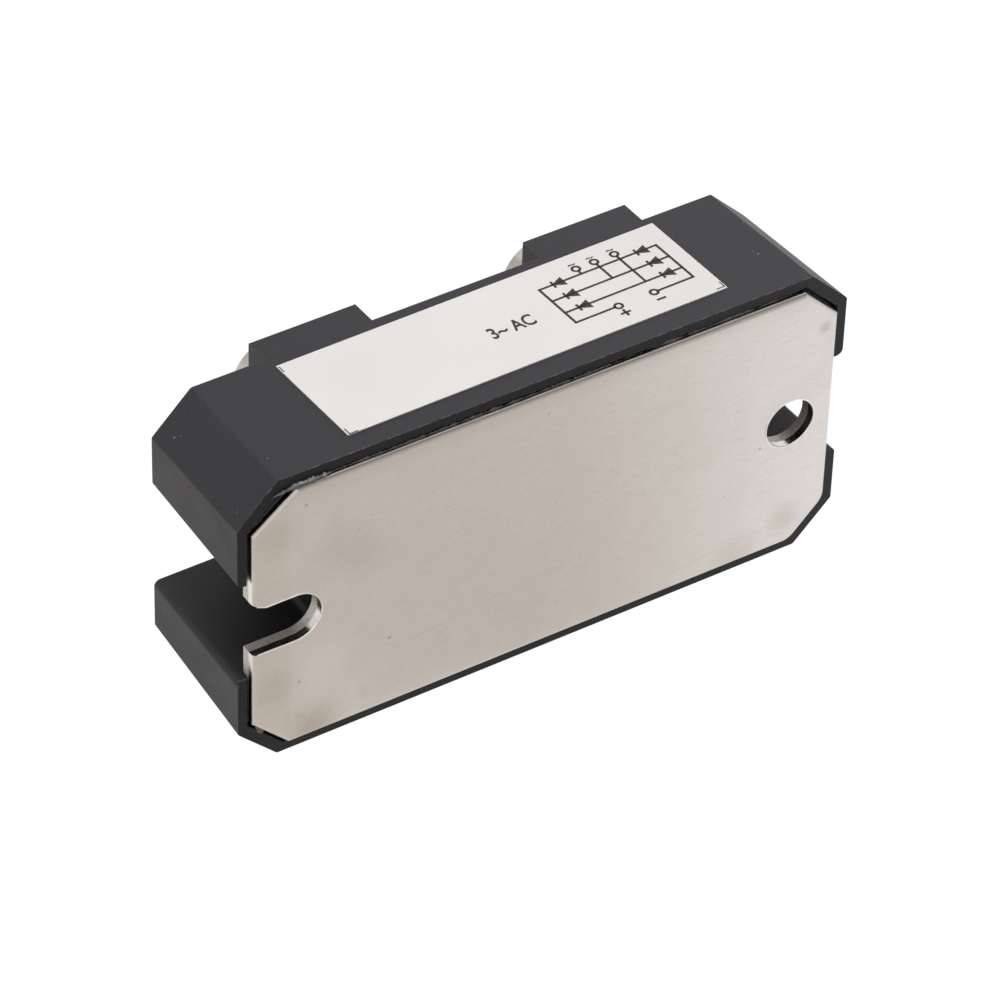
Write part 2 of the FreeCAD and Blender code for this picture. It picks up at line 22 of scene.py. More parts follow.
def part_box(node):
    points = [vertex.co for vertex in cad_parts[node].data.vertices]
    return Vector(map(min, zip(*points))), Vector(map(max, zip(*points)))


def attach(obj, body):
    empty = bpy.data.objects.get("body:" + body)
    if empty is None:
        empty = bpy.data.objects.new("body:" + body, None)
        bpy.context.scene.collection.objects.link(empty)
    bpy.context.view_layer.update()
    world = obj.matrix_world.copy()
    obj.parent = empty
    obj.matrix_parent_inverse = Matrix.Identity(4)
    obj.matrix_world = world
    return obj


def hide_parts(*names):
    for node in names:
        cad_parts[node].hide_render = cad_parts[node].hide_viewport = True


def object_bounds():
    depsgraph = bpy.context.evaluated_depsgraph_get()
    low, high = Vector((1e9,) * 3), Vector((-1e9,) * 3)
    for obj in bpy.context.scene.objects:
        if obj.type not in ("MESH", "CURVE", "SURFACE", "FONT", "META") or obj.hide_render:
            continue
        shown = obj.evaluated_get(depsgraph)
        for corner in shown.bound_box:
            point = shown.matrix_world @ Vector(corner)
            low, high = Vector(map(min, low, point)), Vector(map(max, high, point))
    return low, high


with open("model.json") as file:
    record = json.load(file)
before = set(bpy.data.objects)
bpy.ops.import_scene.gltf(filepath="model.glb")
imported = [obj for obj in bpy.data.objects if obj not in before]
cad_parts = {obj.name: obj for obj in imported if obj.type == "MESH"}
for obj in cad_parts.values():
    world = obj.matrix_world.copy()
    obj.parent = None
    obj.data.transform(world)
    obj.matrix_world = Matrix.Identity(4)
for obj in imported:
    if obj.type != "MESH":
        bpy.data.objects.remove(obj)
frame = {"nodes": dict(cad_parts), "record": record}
cad_box = [list(corner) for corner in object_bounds()]
nodes = frame["nodes"]
scene = bpy.context.scene
MM = 0.001
print(len(nodes), "CAD nodes in the box", cad_box)

# %% [markdown]
# ## The camera
#
# A camera copies a photograph when it has the same place, direction and focal length. These
# numbers come from fitting the corners of the case to the picture. The picture was taken from
# about 0.6 m away with a long lens, which keeps the long edges of the case nearly parallel. The
# direction is written as a photographer would say it: a heading, a tilt down and a small roll.

# %% Place the camera
CAMERA_PLACE = (-0.27119, -0.39663, 0.41051)
FOCAL_LENGTH, SENSOR_WIDTH = 203.44, 36.0  # mm
HEADING = math.radians(33.688)
TILT_DOWN = math.radians(40.348)
ROLL = math.radians(1.969)

look = Vector((math.sin(HEADING) * math.cos(TILT_DOWN),
               math.cos(HEADING) * math.cos(TILT_DOWN),
               -math.sin(TILT_DOWN)))
lens = bpy.data.cameras.new("photo_camera")
lens.sensor_width = SENSOR_WIDTH
lens.lens = FOCAL_LENGTH
camera = bpy.data.objects.new("photo_camera", lens)
camera.location = CAMERA_PLACE
camera.rotation_mode = "QUATERNION"
camera.rotation_quaternion = look.to_track_quat("-Z", "Y") @ Quaternion((0, 0, 1), ROLL)
scene.collection.objects.link(camera)
scene.camera = camera
scene.view_settings.view_transform = "Standard"
print("the camera looks along", tuple(round(part, 3) for part in look))

# %% [markdown]
# ## Node helpers
#
# Every finish below is a small network of shader nodes. Writing `nodes.new` and `links.new` for
# each one buries the idea, so one helper adds a node and fills its sockets in a single line: a
# socket of another node is linked, and anything else is set as a value.

# %% Add a node in one line
def add(tree, kind, sockets=None, **settings):
    """Add a node to a tree. sockets maps input names or numbers to values or to other outputs."""
    node = tree.nodes.new(kind)
    for setting, value in settings.items():
        setattr(node, setting, value)
    for key, value in (sockets or {}).items():
        if isinstance(value, bpy.types.NodeSocket):
            tree.links.new(value, node.inputs[key])
        else:
            node.inputs[key].default_value = value
    return node


def maths(tree, operation, first, second=0.0, clamp=False):
    node = add(tree, "ShaderNodeMath", {0: first, 1: second}, operation=operation, use_clamp=clamp)
    return node.outputs[0]


def remap(tree, value, low, high, to_low=0.0, to_high=1.0):
    """Stretch a value from one range to another, held at both ends."""
    node = add(tree, "ShaderNodeMapRange", {"Value": value, "From Min": low, "From Max": high,
                                            "To Min": to_low, "To Max": to_high})
    return node.outputs[0]


def blend(tree, mask, first, second):
    """Mix two colours by a mask."""
    node = add(tree, "ShaderNodeMix", {0: mask, 6: first, 7: second}, data_type="RGBA")
    return node.outputs[2]


def grain(tree, place, scale, detail=3.0, roughness=0.5, distortion=0.0):
    node = add(tree, "ShaderNodeTexNoise", {"Vector": place, "Scale": scale, "Detail": detail,
                                            "Roughness": roughness, "Distortion": distortion})
    return node.outputs["Fac"]


def object_place(tree):
    return add(tree, "ShaderNodeTexCoord").outputs["Object"]


def split(tree, vector):
    node = add(tree, "ShaderNodeSeparateXYZ", {0: vector})
    return node.outputs[0], node.outputs[1], node.outputs[2]


# %% [markdown]
# ## Shared effects
#
# Edges that catch light, the fine skin of moulded plastic, brushed lines, smudges, stains,
# scratches and dust are each a node group, built once, which gives out masks or a height between
# 0 and 1. A material places the group, as often as it needs, and decides what to do with the
# result.

# %% Make a node group
def new_group(name, inputs, outputs):
    """A shader node group with float inputs, and the two nodes at its ends."""
    group = bpy.data.node_groups.new(name, "ShaderNodeTree")
    for label, value in inputs.items():
        socket = group.interface.new_socket(label, in_out="INPUT", socket_type="NodeSocketFloat")
        socket.default_value = value
    for label in outputs:
        group.interface.new_socket(label, in_out="OUTPUT", socket_type="NodeSocketFloat")
    start = group.nodes.new("NodeGroupInput")
    end = group.nodes.new("NodeGroupOutput")
    print("group", name, "gives", outputs)
    return group, start.outputs, end.inputs


def use(tree, group, **values):
    """Place a group in a tree. A keyword sets or links the input of that name."""
    inputs = {key.replace("_", " "): value for key, value in values.items()}
    return add(tree, "ShaderNodeGroup", inputs, node_tree=group).outputs


# %% [markdown]
# ### Worn edges with a painted highlight
#
# A moulded or stamped edge is never perfectly sharp: it is rubbed pale in an uneven line, and its
# rounding catches the light, so the pale line it gets is partly wear and partly a painted highlight.
# The Bevel node gives the normal that a rounded edge would have. Where that differs from the real
# normal there is an edge, and a little noise breaks the line up.

# %% Edge mask
edge_wear_and_highlight, given, put = new_group(
    "edge_wear_and_highlight", {"Width": 0.0004, "Break Scale": 900.0, "Gain": 6.0}, ["Mask"])
rounded = add(edge_wear_and_highlight, "ShaderNodeBevel", {"Radius": given["Width"]}, samples=6)
flat = add(edge_wear_and_highlight, "ShaderNodeNewGeometry")
same = add(edge_wear_and_highlight, "ShaderNodeVectorMath", {0: rounded.outputs[0], 1: flat.outputs["Normal"]},
           operation="DOT_PRODUCT").outputs["Value"]
turned = maths(edge_wear_and_highlight, "SUBTRACT", 1.0, same)
edge = maths(edge_wear_and_highlight, "MULTIPLY", turned, given["Gain"], clamp=True)
uneven = grain(edge_wear_and_highlight, object_place(edge_wear_and_highlight), given["Break Scale"], 4.0, 0.65)
chips = remap(edge_wear_and_highlight, uneven, 0.42, 0.62)
edge_wear_and_highlight.links.new(maths(edge_wear_and_highlight, "MULTIPLY", edge, chips), put["Mask"])
print("group edge_wear_and_highlight has", len(edge_wear_and_highlight.nodes), "nodes")

# %% [markdown]
# ### Moulded skin
#
# A glass filled moulding copies the spark eroded skin of its tool: a very fine, dull grain, with
# slow changes of tone where the plastic flowed. One noise gives the grain and one the tone.

# %% Moulded skin
moulded_skin, given, put = new_group("moulded_skin", {"Grain Scale": 5200.0, "Tone Scale": 60.0},
                                     ["Height", "Tone"])
here = object_place(moulded_skin)
fine = grain(moulded_skin, here, given["Grain Scale"], 4.0, 0.7)
slow = grain(moulded_skin, here, given["Tone Scale"], 3.0, 0.55, 0.4)
moulded_skin.links.new(fine, put["Height"])
moulded_skin.links.new(remap(moulded_skin, slow, 0.3, 0.7), put["Tone"])

# %% [markdown]
# ### Brushed lines
#
# A plated sheet keeps the fine lines of the belt that finished it. They run along its length, so
# the noise is stretched: X counts for far less than Y and Z when the noise reads its place. A
# second set, cut off at a high level, leaves a few darker streaks a few millimetres long, which
# keeps the first set from looking like a regular pattern.

# %% Brushed lines
brushed_lines, given, put = new_group("brushed_lines", {"Fineness": 4600.0, "Stretch": 0.13},
                                      ["Lines", "Streaks"])
along, across, upward = split(brushed_lines, object_place(brushed_lines))
squeezed = add(brushed_lines, "ShaderNodeCombineXYZ",
               {0: maths(brushed_lines, "MULTIPLY", along, given["Stretch"]), 1: across, 2: upward})
lines = grain(brushed_lines, squeezed.outputs[0], given["Fineness"], 3.0, 0.6)
coarser = maths(brushed_lines, "MULTIPLY", given["Fineness"], 0.55)
wide = grain(brushed_lines, squeezed.outputs[0], coarser, 3.0, 0.6)
brushed_lines.links.new(remap(brushed_lines, lines, 0.3, 0.7), put["Lines"])
brushed_lines.links.new(remap(brushed_lines, wide, 0.56, 0.74), put["Streaks"])

# %% [markdown]
# ### Smudges and dust
#
# Handling leaves soft cloudy patches on metal, and a studio light finds every speck of dust.
# Smudges are a wide, warped noise with its middle cut out. Specks are the centres of a Voronoi
# pattern, with a second noise that removes most of them, so that they lie scattered.

# %% Smudges
smudges, given, put = new_group("smudges", {"Scale": 70.0, "Low": 0.5, "High": 0.75}, ["Mask"])
cloud = grain(smudges, object_place(smudges), given["Scale"], 4.0, 0.6, 1.2)
spread = add(smudges, "ShaderNodeMapRange", {"Value": cloud, "From Min": given["Low"],
                                             "From Max": given["High"]},
             interpolation_type="SMOOTHSTEP")
smudges.links.new(spread.outputs[0], put["Mask"])

# %% [markdown]
# A stain in one known place is different: it has a middle and a reach. Its mask falls off with the
# distance from the middle, in the plane of the plate, and a warped noise frays its edge.

# %% One stain
one_stain, given, put = new_group(
    "one_stain", {"Along": 0.0, "Up": 0.0, "Reach": 0.003, "Fray": 0.6}, ["Mask"])
here = object_place(one_stain)
along, _, upward = split(one_stain, here)
offset = add(one_stain, "ShaderNodeCombineXYZ", {
    0: maths(one_stain, "SUBTRACT", along, given["Along"]),
    2: maths(one_stain, "SUBTRACT", upward, given["Up"])})
away = add(one_stain, "ShaderNodeVectorMath", {0: offset.outputs[0]}, operation="LENGTH").outputs["Value"]
frayed = maths(one_stain, "MULTIPLY", given["Fray"],
               grain(one_stain, here, maths(one_stain, "DIVIDE", 2.5, given["Reach"]), 4.0, 0.65, 0.8))
share = maths(one_stain, "ADD", maths(one_stain, "DIVIDE", away, given["Reach"]), frayed)
faded = add(one_stain, "ShaderNodeMapRange", {"Value": share, "From Min": 1.25, "From Max": 0.35},
            interpolation_type="SMOOTHSTEP")
one_stain.links.new(faded.outputs[0], put["Mask"])

# %% [markdown]
# A scratch is a stain's thin cousin: a straight line with a slope, faded at both ends and broken
# by a noise.

# %% One scratch
one_scratch, given, put = new_group(
    "one_scratch", {"Along": 0.0, "Up": 0.0, "Slope": 0.0, "Reach": 0.005, "Width": 0.00016}, ["Mask"])
here = object_place(one_scratch)
along, _, upward = split(one_scratch, here)
run = maths(one_scratch, "SUBTRACT", along, given["Along"])
rise = maths(one_scratch, "SUBTRACT", maths(one_scratch, "SUBTRACT", upward, given["Up"]),
             maths(one_scratch, "MULTIPLY", run, given["Slope"]))
beside = maths(one_scratch, "DIVIDE", maths(one_scratch, "ABSOLUTE", rise), given["Width"])
past = maths(one_scratch, "DIVIDE", maths(one_scratch, "ABSOLUTE", run), given["Reach"])
broken = remap(one_scratch, grain(one_scratch, here, 700.0, 3.0, 0.6), 0.35, 0.6, 0.25, 1.0)
line = maths(one_scratch, "MULTIPLY", remap(one_scratch, beside, 1.0, 0.2),
             remap(one_scratch, past, 1.0, 0.6))
one_scratch.links.new(maths(one_scratch, "MULTIPLY", line, broken), put["Mask"])

# %% Dust specks
dust_specks, given, put = new_group("dust_specks", {"Scale": 900.0, "Size": 0.09, "Rarity": 0.62},
                                    ["Mask"])
here = object_place(dust_specks)
cells = add(dust_specks, "ShaderNodeTexVoronoi", {"Vector": here, "Scale": given["Scale"]})
spot = maths(dust_specks, "LESS_THAN", cells.outputs["Distance"], given["Size"])
scatter = grain(dust_specks, here, 260.0, 2.0)
kept = maths(dust_specks, "GREATER_THAN", scatter, given["Rarity"])
dust_specks.links.new(maths(dust_specks, "MULTIPLY", spot, kept), put["Mask"])
print("groups:", [group.name for group in bpy.data.node_groups])

# %% [markdown]
# ## Finishes
#
# Each finish starts from one Principled BSDF. The helper below makes the material and hands back
# the tree and that shader, so that each recipe holds only what is special about its finish.

# %% Start a material
def new_finish(name, metallic=0.0, ior=1.5, **values):
    material = bpy.data.materials.new(name)
    material.use_nodes = True
    tree = material.node_tree
    shader = tree.nodes["Principled BSDF"]
    shader.inputs["Metallic"].default_value = metallic
    shader.inputs["IOR"].default_value = ior
    for label, value in values.items():
        shader.inputs[label.replace("_", " ")].default_value = value
    print("finish", name)
    return material, tree, shader


def bump(tree, shader, height, distance, strength=1.0):
    node = add(tree, "ShaderNodeBump", {"Height": height, "Distance": distance, "Strength": strength})
    tree.links.new(node.outputs[0], shader.inputs["Normal"])


# %% [markdown]
# ### The black moulding
#
# The case is dull charcoal rather than black: in the photograph its top reads as a mid grey,
# because the rough skin scatters the white room. It is painted a little paler towards the round
# hole, a painted sheen for the light that its top catches there, and a painted shade darkens it
# inside the notches. Its end faces are paler and browner in cloudy patches, its edges have a
# broken pale line that is partly rubbed wear and partly a painted highlight, and there are a few
# pale specks.

# %% Case plastic
RIM_DEPTH, PAST_RIM = 1 * MM, 3 * MM
SHEEN_START, SHEEN_END = -30 * MM, 30 * MM
NOTCH_SIDE, PAST_SIDE = 7.2 * MM, 7.4 * MM
NOTCH_DARK, NOTCH_MOUTH = 36 * MM, 41 * MM


def make_case_plastic():
    material, tree, shader = new_finish("case_plastic", ior=1.46, Specular_IOR_Level=0.3)
    skin = use(tree, moulded_skin)
    edges = use(tree, edge_wear_and_highlight, Width=0.00026, Break_Scale=1500.0, Gain=9.0)
    dust = use(tree, dust_specks)
    along, depth, upward = split(tree, object_place(tree))
    near_rim = remap(tree, depth, PAST_RIM, RIM_DEPTH, 0.3, 1.0)
    sheen_to_right = remap(tree, along, SHEEN_START, SHEEN_END, 0.0, 0.55)
    between_sides = remap(tree, maths(tree, "ABSOLUTE", upward), PAST_SIDE, NOTCH_SIDE)
    past_mouth = remap(tree, maths(tree, "ABSOLUTE", along), NOTCH_MOUTH, NOTCH_DARK)
    notch_shade = maths(tree, "MULTIPLY", between_sides, past_mouth)
    facing = split(tree, add(tree, "ShaderNodeTexCoord").outputs["Normal"])[0]
    on_end = remap(tree, maths(tree, "ABSOLUTE", facing), 0.85, 0.97)
    speckle = remap(tree, grain(tree, object_place(tree), 3800.0, 2.0, 0.8), 0.3, 0.7)
    mottle = add(tree, "ShaderNodeMix", {0: 0.55, 2: skin["Tone"], 3: speckle}).outputs[0]
    colour = blend(tree, mottle, (0.016, 0.015, 0.018, 1), (0.036, 0.034, 0.039, 1))
    # Painted sheen: the case grows paler towards +X, where its top catches more light.
    colour = blend(tree, sheen_to_right, colour, (0.043, 0.041, 0.047, 1))
    # Painted shade: the case is darkest inside the notches.
    colour = blend(tree, notch_shade, colour, (0.008, 0.008, 0.008, 1))
    # The end faces are paler and browner in cloudy patches.
    end_clouds = use(tree, smudges, Scale=55.0, Low=0.35, High=0.7)
    end_patches = maths(tree, "MULTIPLY", on_end, end_clouds["Mask"])
    colour = blend(tree, end_patches, colour, (0.055, 0.049, 0.046, 1))
    # The pale line on edges near the rim is partly rubbed wear and partly a painted highlight.
    rim_wear_and_highlight = maths(tree, "MULTIPLY", edges["Mask"], near_rim)
    colour = blend(tree, rim_wear_and_highlight, colour, (0.16, 0.16, 0.175, 1))
    colour = blend(tree, maths(tree, "MULTIPLY", dust["Mask"], 0.6), colour, (0.5, 0.49, 0.47, 1))
    tree.links.new(colour, shader.inputs["Base Color"])
    tree.links.new(remap(tree, skin["Tone"], 0.0, 1.0, 0.46, 0.56), shader.inputs["Roughness"])
    bump(tree, shader, skin["Height"], 0.00002, 0.5)
    return material


case_plastic = make_case_plastic()

# %% [markdown]
# ### The plated base plate
#
# Nickel plate over copper, brushed along its length: warm silver, satin, with brownish marks of
# handling, a few dark pits and some long scratches. The end with the slot is tarnished beyond a
# framed line, and the face is darker towards its upper edge; where that edge rolls over, a painted
# shade darkens it further.
# Its faces are satin, but the walls of the hole and the slot show how they were punched: a smooth
# bright band that the punch burnished near the face, and a rough torn band behind it. The wall and
# the roll are found by their normals, and the band by its depth along Y.

# %% Plated plate
BURNISHED_DEPTH = 1.05 * MM
STREAKY_END = 35 * MM
TARNISH_START, TARNISH_END, FRAYING = -31.5 * MM, -32.5 * MM, 3 * MM
DULL_START, DULL_END = 15.8 * MM, 17.7 * MM
HANDLING_BROWN = (0.44, 0.36, 0.3, 1)
THUMB_PINK = (0.56, 0.45, 0.41, 1)
CLEANED = (0.83, 0.81, 0.79, 1)
PIT_BROWN = (0.2, 0.16, 0.13, 1)
# Each mark's middle along X and Z, and its reach, in mm, then how strongly it shows.
HANDLING_MARKS = [(-30.9, -17.6, 5.5, 0.5), (32.8, -14.2, 3.4, 0.3), (26.0, -17.2, 5.0, 0.25),
                  (36.6, 12.4, 1.3, 0.5), (-35.8, 12.5, 4.5, 0.2), (-35.6, -9.5, 5.0, 0.22),
                  (15.0, 9.2, 1.8, 0.08), (-24.2, -15.0, 1.3, 0.16)]
THUMB_MARKS = [(-27.6, 8.2, 6.0, 0.22), (-24.0, 5.4, 5.2, 0.22)]
CLEANED_MARKS = [(-30.0, -9.0, 8.0, 0.5), (-25.5, -14.5, 6.0, 0.3)]
PITS = [(-31.8, 15.7, 0.35, 0.6), (-20.9, -8.4, 0.32, 0.6), (-32.6, -9.6, 0.34, 0.45),
        (28.6, -2.1, 0.34, 0.5), (24.0, -7.3, 0.3, 0.3), (0.7, 2.1, 0.42, 0.16), (9.0, 2.6, 0.42, 0.14),
        (-0.7, 15.4, 0.3, 0.35), (1.1, 12.8, 0.36, 0.16), (-25.1, 9.3, 0.26, 0.35),
        (1.4, -13.2, 0.7, 0.06)]
# Each scratch's middle, its slope, half its length in mm, and how strongly it shows.
SCRATCHES = [(-7.5, -8.7, 0.107, 15.0, 0.17), (31.0, -4.2, 0.12, 5.5, 0.15),
             (21.9, 6.8, 0.15, 3.0, 0.14), (7.0, 12.05, 0.0, 1.9, 0.2),
             (23.5, -15.2, 0.088, 10.5, 0.22), (-13.4, -12.2, 0.0, 1.0, 0.2)]
SCRATCH_GREY = (0.42, 0.38, 0.34, 1)


def add_marks(tree, colour, marks, stain):
    for along, up, reach, strength in marks:
        mark = use(tree, one_stain, Along=along * MM, Up=up * MM, Reach=reach * MM)
        colour = blend(tree, maths(tree, "MULTIPLY", mark["Mask"], strength), colour, stain)
    return colour


def add_scratches(tree, colour, scratches, stain):
    for along, up, slope, reach, strength in scratches:
        line = use(tree, one_scratch, Along=along * MM, Up=up * MM, Slope=slope, Reach=reach * MM)
        colour = blend(tree, maths(tree, "MULTIPLY", line["Mask"], strength), colour, stain)
    return colour


def make_plate_nickel():
    material, tree, shader = new_finish("plate_nickel", metallic=1.0)
    brushed = use(tree, brushed_lines)
    cloud = use(tree, smudges, Scale=90.0, Low=0.35, High=0.75)
    coordinates = add(tree, "ShaderNodeTexCoord").outputs
    here = coordinates["Object"]
    endwards, facing, rolled = split(tree, coordinates["Normal"])
    endwards = maths(tree, "ABSOLUTE", endwards)
    along, depth, upward = split(tree, here)
    wall = remap(tree, maths(tree, "ABSOLUTE", facing), 0.35, 0.1)
    torn = maths(tree, "MULTIPLY", wall, maths(tree, "GREATER_THAN", depth, BURNISHED_DEPTH))
    powder = remap(tree, grain(tree, here, 2400.0, 3.0, 0.6), 0.3, 0.7)
    texture = add(tree, "ShaderNodeMix", {0: 0.4, 2: brushed["Lines"], 3: powder}).outputs[0]
    colour = blend(tree, texture, (0.67, 0.635, 0.605, 1), (0.77, 0.735, 0.705, 1))
    streaky = remap(tree, along, 0.0, STREAKY_END, 0.28, 0.6)
    streaked = maths(tree, "MULTIPLY", brushed["Streaks"], streaky)
    colour = blend(tree, streaked, colour, (0.56, 0.525, 0.49, 1))
    colour = blend(tree, maths(tree, "MULTIPLY", cloud["Mask"], 0.25), colour, (0.66, 0.615, 0.575, 1))
    colour = add_marks(tree, colour, CLEANED_MARKS, CLEANED)
    colour = add_marks(tree, colour, THUMB_MARKS, THUMB_PINK)
    colour = add_marks(tree, colour, HANDLING_MARKS, HANDLING_BROWN)
    colour = add_marks(tree, colour, PITS, PIT_BROWN)
    colour = add_scratches(tree, colour, SCRATCHES, SCRATCH_GREY)
    ragged = maths(tree, "MULTIPLY", FRAYING, grain(tree, here, 160.0))
    frayed = maths(tree, "ADD", along, ragged)
    tarnished = remap(tree, frayed, TARNISH_START, TARNISH_END, 0.0, 0.12)
    colour = blend(tree, tarnished, colour, (0.5, 0.4, 0.32, 1))
    dulled = remap(tree, upward, DULL_START, DULL_END, 0.0, 0.14)
    colour = blend(tree, dulled, colour, (0.3, 0.25, 0.21, 1))
    # Painted shade on the upper edge where it rolls over, found by the upward lean of its normal.
    shaded = maths(tree, "MULTIPLY", remap(tree, rolled, 0.1, 0.84), remap(tree, rolled, 0.97, 0.87))
    colour = blend(tree, maths(tree, "MULTIPLY", shaded, remap(tree, endwards, 0.3, 0.1, 0.5, 0.85)),
                   colour, (0.12, 0.095, 0.08, 1))
    colour = blend(tree, maths(tree, "MULTIPLY", wall, 0.4), colour, (0.78, 0.765, 0.69, 1))
    crumbly = grain(tree, here, 3400.0, 4.0, 0.75)
    torn_tone = blend(tree, remap(tree, crumbly, 0.35, 0.65),
                      (0.26, 0.235, 0.2, 1), (0.56, 0.53, 0.46, 1))
    colour = blend(tree, maths(tree, "MULTIPLY", torn, 0.6), colour, torn_tone)
    tree.links.new(colour, shader.inputs["Base Color"])
    satin = maths(tree, "ADD", remap(tree, brushed["Lines"], 0.0, 1.0, 0.3, 0.38),
                  maths(tree, "MULTIPLY", cloud["Mask"], 0.05))
    smooth = add(tree, "ShaderNodeMix", {0: wall, 2: satin, 3: 0.19}).outputs[0]
    rough = add(tree, "ShaderNodeMix", {0: torn, 2: smooth, 3: 0.58}).outputs[0]
    tree.links.new(rough, shader.inputs["Roughness"])
    torn_grain = grain(tree, here, 2600.0, 3.0, 0.7)
    height = add(tree, "ShaderNodeMix", {0: torn, 2: brushed["Lines"], 3: torn_grain}).outputs[0]
    bump(tree, shader, height, 0.000014, 0.5)
    return material


plate_nickel = make_plate_nickel()

# %% [markdown]
# ### Label film and ink
#
# The label is a smooth white film with a faint sheen. The ink lies on it as a thin dull layer.

# %% Label film
def make_label_film():
    material, tree, shader = new_finish("label_film", ior=1.46)
    skin = use(tree, moulded_skin, Grain_Scale=1800.0, Tone_Scale=45.0)
    colour = blend(tree, skin["Tone"], (0.735, 0.712, 0.702, 1), (0.77, 0.75, 0.74, 1))
    tree.links.new(colour, shader.inputs["Base Color"])
    tree.links.new(remap(tree, skin["Tone"], 0.0, 1.0, 0.36, 0.44), shader.inputs["Roughness"])
    bump(tree, shader, skin["Height"], 0.00001, 0.3)
    return material


def make_label_ink():
    material, tree, shader = new_finish("label_ink")
    worn = use(tree, smudges, Scale=900.0, Low=0.45, High=0.7)
    colour = blend(tree, worn["Mask"], (0.012, 0.012, 0.014, 1), (0.03, 0.03, 0.033, 1))
    tree.links.new(colour, shader.inputs["Base Color"])
    tree.links.new(remap(tree, worn["Mask"], 0.0, 1.0, 0.5, 0.6), shader.inputs["Roughness"])
    return material


label_film = make_label_film()
label_ink = make_label_ink()

# %% [markdown]
# ### Small metal parts
#
# The strips, screws, washers and nuts are bright plated metal, and the circuit's copper is bare.
# One recipe serves them all, with its own colour and roughness each time: fine scratches, slight
# clouds, and pale edges that are partly rubbed wear and partly a painted highlight.

# %% Bright metals
def make_bright_metal(name, dark, pale, smooth, dull, scratch_scale):
    material, tree, shader = new_finish(name, metallic=1.0)
    cloud = use(tree, smudges, Scale=220.0, Low=0.35, High=0.7)
    edges = use(tree, edge_wear_and_highlight, Width=0.0002)
    scratch = grain(tree, object_place(tree), scratch_scale, 5.0, 0.75, 0.6)
    colour = blend(tree, cloud["Mask"], pale, dark)
    # Pale edges: partly rubbed wear, partly a painted highlight.
    colour = blend(tree, maths(tree, "MULTIPLY", edges["Mask"], 0.5), colour, (0.86, 0.85, 0.83, 1))
    tree.links.new(colour, shader.inputs["Base Color"])
    shine = add(tree, "ShaderNodeMix", {0: cloud["Mask"], 2: smooth, 3: dull}).outputs[0]
    tree.links.new(shine, shader.inputs["Roughness"])
    bump(tree, shader, scratch, 0.000015, 0.4)
    return material


strip_nickel = make_bright_metal("strip_nickel", (0.55, 0.53, 0.5, 1), (0.68, 0.66, 0.63, 1),
                                 0.22, 0.36, 2200.0)
fastener_nickel = make_bright_metal("fastener_nickel", (0.4, 0.365, 0.325, 1), (0.54, 0.5, 0.46, 1),
                                    0.2, 0.34, 2600.0)
bare_copper = make_bright_metal("bare_copper", (0.5, 0.24, 0.15, 1), (0.72, 0.4, 0.28, 1),
                                0.25, 0.45, 1500.0)

# %% [markdown]
# ### Inside the case
#
# Resin, ceramic and silicon are out of sight, but the part can be taken apart in the library, so
# they get honest finishes too: a cast surface, a fired grain and a polished chip.

# %% Hidden materials
def make_plain_solid(name, dark, pale, smooth, dull, scale, coat=0.0):
    material, tree, shader = new_finish(name, Coat_Weight=coat)
    skin = use(tree, moulded_skin, Grain_Scale=scale, Tone_Scale=scale / 40)
    tree.links.new(blend(tree, skin["Tone"], dark, pale), shader.inputs["Base Color"])
    tree.links.new(remap(tree, skin["Tone"], 0.0, 1.0, smooth, dull), shader.inputs["Roughness"])
    bump(tree, shader, skin["Height"], 0.00002, 0.4)
    return material


cast_resin = make_plain_solid("cast_resin", (0.02, 0.02, 0.02, 1), (0.04, 0.04, 0.04, 1),
                              0.2, 0.35, 1200.0)
alumina = make_plain_solid("alumina", (0.78, 0.77, 0.73, 1), (0.86, 0.85, 0.82, 1),
                           0.5, 0.6, 4000.0)
silicon = make_plain_solid("silicon", (0.12, 0.13, 0.15, 1), (0.2, 0.21, 0.24, 1),
                           0.12, 0.2, 3000.0, 0.3)

# %% [markdown]
# ## Dress the CAD nodes
#
# Each CAD node keeps its mesh. Only the material in its slots changes, picked by the name of the
# record's own slot.

# %% Hand out the finishes
FINISH_OF_SLOT = {
    "housing_plastic": case_plastic,
    "plated_plate": plate_nickel,
    "label_film": label_film,
    "resin": cast_resin,
    "alumina": alumina,
    "bare_copper": bare_copper,
    "silicon": silicon,
    "plated_strip": strip_nickel,
    "plated_steel": fastener_nickel,
}
for part in frame["record"]["subparts"]:
    node = nodes[part["node"]]
    if not node.material_slots:
        node.data.materials.append(None)
    for slot in node.material_slots:
        slot.material = FINISH_OF_SLOT[part["material_slot"]]


# %% [markdown]
# ## From bmesh to piece
#
# New pieces are shaped in a bmesh and then given to one body of the model, so that they move with
# it. The helper keeps the object at the origin, with its place in its mesh.

# %% Finish a piece
def finish_piece(shape, name, material, body, smooth=False):
    mesh = bpy.data.meshes.new(name)
    shape.to_mesh(mesh)
    shape.free()
    mesh.materials.append(material)
    for polygon in mesh.polygons:
        polygon.use_smooth = smooth
    piece = bpy.data.objects.new(name, mesh)
    scene.collection.objects.link(piece)
    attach(piece, body)
    print(name, "has", len(mesh.polygons), "faces")
    return piece


# %% [markdown]
# ## The print on the label
#
# The label carries a circuit drawing: a bridge of six diodes between two bus lines, three inputs
# marked with a wave, and two outputs marked plus and minus. It is drawn flat, in millimetres from
# the middle of the label, and then laid on the label's leaning face. Lines are one grid face each,
# rings are discs with an inset, and diodes are three sided circles.
#
# First the label's own frame: its middle comes from the CAD box, and it leans with the case's
# drafted side.

# %% Find the label's face
LABEL_LEAN = math.radians(3.05)
PRINT_TURN = math.radians(0.9)
LABEL_THICKNESS = 0.15 * MM
INK_LIFT = 0.02 * MM

